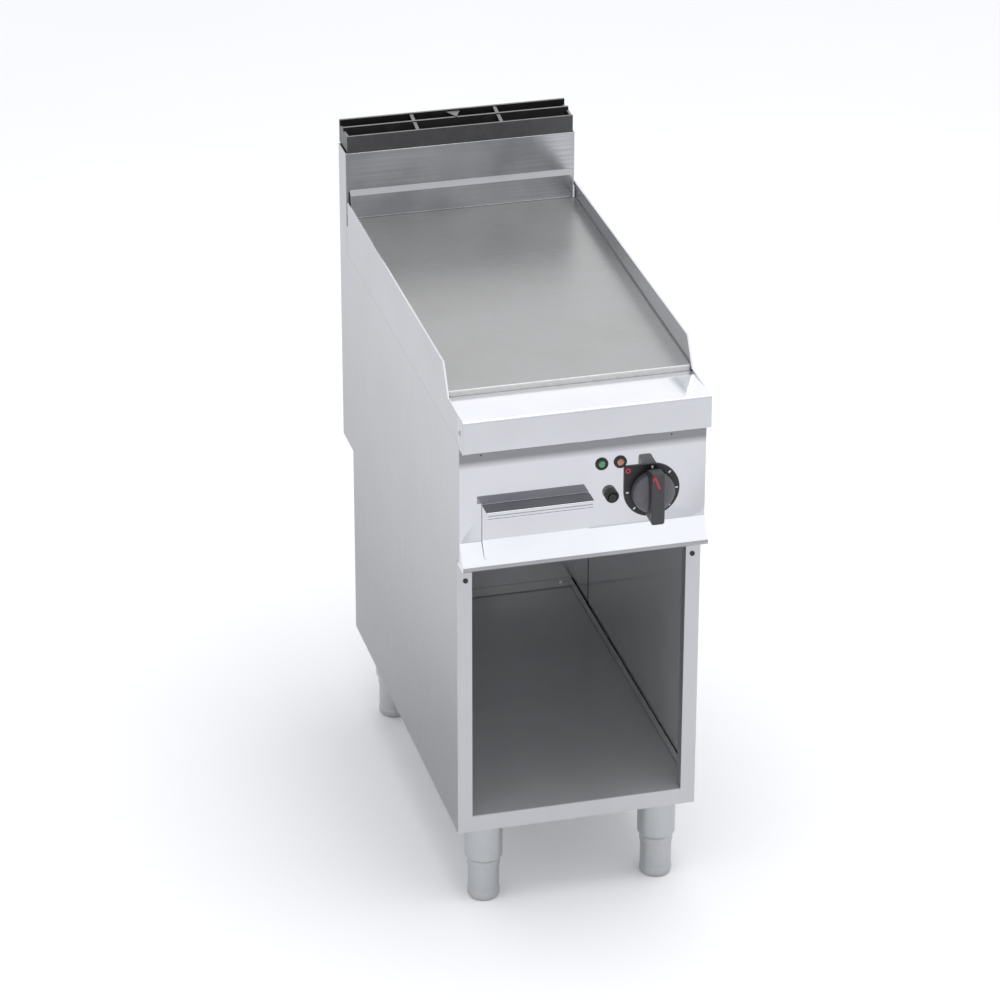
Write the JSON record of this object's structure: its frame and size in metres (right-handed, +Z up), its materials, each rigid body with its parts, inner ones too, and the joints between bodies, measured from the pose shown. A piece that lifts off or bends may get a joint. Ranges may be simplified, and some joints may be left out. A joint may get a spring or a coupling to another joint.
{
  "type": "flat top griddle",
  "caption": "Free-standing flat top griddle: sloping steel plate with splash guards, rear flue grille, control panel with knob and grease drawer, open cabinet on adjustable feet.",
  "frame": {"origin": "on the floor under the middle of the whole appliance, knob and rear grille included", "axes": "+Z up, -Y towards the cook, +X to the cook's right"},
  "size_m": [0.4, 0.8706, 1.0755],
  "materials": {
    "brushed_steel": "fine satin stainless sheet",
    "polished_steel": "mirror-like polished stainless sheet",
    "griddle_steel": "ground cooking plate, even grey satin",
    "galvanised_steel": "dull zinc-coated sheet",
    "black_enamel": "semi-matt black enamel on cast iron",
    "black_plastic": "satin black moulded plastic",
    "grey_plastic": "plain grey moulded plastic",
    "red_inlay": "red filled index",
    "green_lens": "clear green moulded lens",
    "amber_lens": "clear amber moulded lens",
    "element_sheath": "heat-darkened steel tube",
    "insulation": "pale mineral fibre board",
    "zinc": "bright zinc-plated steel"
  },
  "bodies": {
    "cabinet": {"amber_lamp_bezel": "black_plastic", "amber_lamp_body": "grey_plastic", "amber_lamp_lens": "amber_lens", "bottom_shelf": "brushed_steel", "cabinet_back": "brushed_steel", "cable_gland": "grey_plastic", "cavity_ceiling": "galvanised_steel", "contactor": "grey_plastic", "control_panel": "polished_steel", "dial_plate": "black_plastic", "element_clamp_1": "galvanised_steel", "element_clamp_2": "galvanised_steel", "flue_back": "brushed_steel", "flue_front": "brushed_steel", "front_frame": "brushed_steel", "grease_gutter": "brushed_steel", "grease_spout": "brushed_steel", "green_lamp_bezel": "black_plastic", "green_lamp_body": "grey_plastic", "green_lamp_lens": "green_lens", "griddle_plate": "griddle_steel", "heat_pan": "galvanised_steel", "heating_element_1": "element_sheath", "heating_element_2": "element_sheath", "heating_element_3": "element_sheath", "insulation_board": "insulation", "left_drawer_runner": "galvanised_steel", "left_foot_rail": "galvanised_steel", "left_front_foot_sleeve": "brushed_steel", "left_post_screw": "zinc", "left_rear_foot_sleeve": "brushed_steel", "left_side_panel": "brushed_steel", "left_splash_guard": "brushed_steel", "reset_collar": "black_plastic", "right_drawer_runner": "galvanised_steel", "right_foot_rail": "galvanised_steel", "right_front_foot_sleeve": "brushed_steel", "right_post_screw": "zinc", "right_rear_foot_sleeve": "brushed_steel", "right_side_panel": "brushed_steel", "right_splash_guard": "brushed_steel", "safety_thermostat": "grey_plastic", "splash_back": "brushed_steel", "terminal_block": "grey_plastic", "thermostat_body": "grey_plastic", "worktop_front": "polished_steel"},
    "knob": {"knob": "black_plastic", "knob_mark": "red_inlay", "thermostat_shaft": "zinc"},
    "reset_button": {"reset_button": "black_plastic"},
    "drawer": {"drawer_front": "polished_steel", "drawer_tray": "brushed_steel"},
    "flue_grille": {"flue_grille": "black_enamel"},
    "left_front_foot": {"left_front_foot_stem": "brushed_steel"},
    "left_rear_foot": {"left_rear_foot_stem": "brushed_steel"},
    "right_front_foot": {"right_front_foot_stem": "brushed_steel"},
    "right_rear_foot": {"right_rear_foot_stem": "brushed_steel"}
  },
  "joints": [
    {"name": "knob_turn", "type": "hinge", "parent": "cabinet", "child": "knob", "pos_m": [0.1115, -0.3989, 0.738], "axis": [0, 1, 0], "range_deg": [0, 315]},
    {"name": "reset_push", "type": "slide", "parent": "cabinet", "child": "reset_button", "axis": [0, 1, 0], "range_m": [0, 0.003], "stiffness_N_per_m": 600},
    {"name": "drawer_slide", "type": "slide", "parent": "cabinet", "child": "drawer", "axis": [0, -1, 0], "range_m": [0, 0.3]},
    {"name": "grille_lift", "type": "slide", "parent": "cabinet", "child": "flue_grille", "axis": [0, 0, 1], "range_m": [0, 0.06]},
    {"name": "left_front_foot_level", "type": "slide", "parent": "cabinet", "child": "left_front_foot", "axis": [0, 0, -1], "range_m": [0, 0.03]},
    {"name": "left_rear_foot_level", "type": "slide", "parent": "cabinet", "child": "left_rear_foot", "axis": [0, 0, -1], "range_m": [0, 0.03]},
    {"name": "right_front_foot_level", "type": "slide", "parent": "cabinet", "child": "right_front_foot", "axis": [0, 0, -1], "range_m": [0, 0.03]},
    {"name": "right_rear_foot_level", "type": "slide", "parent": "cabinet", "child": "right_rear_foot", "axis": [0, 0, -1], "range_m": [0, 0.03]}
  ]
}
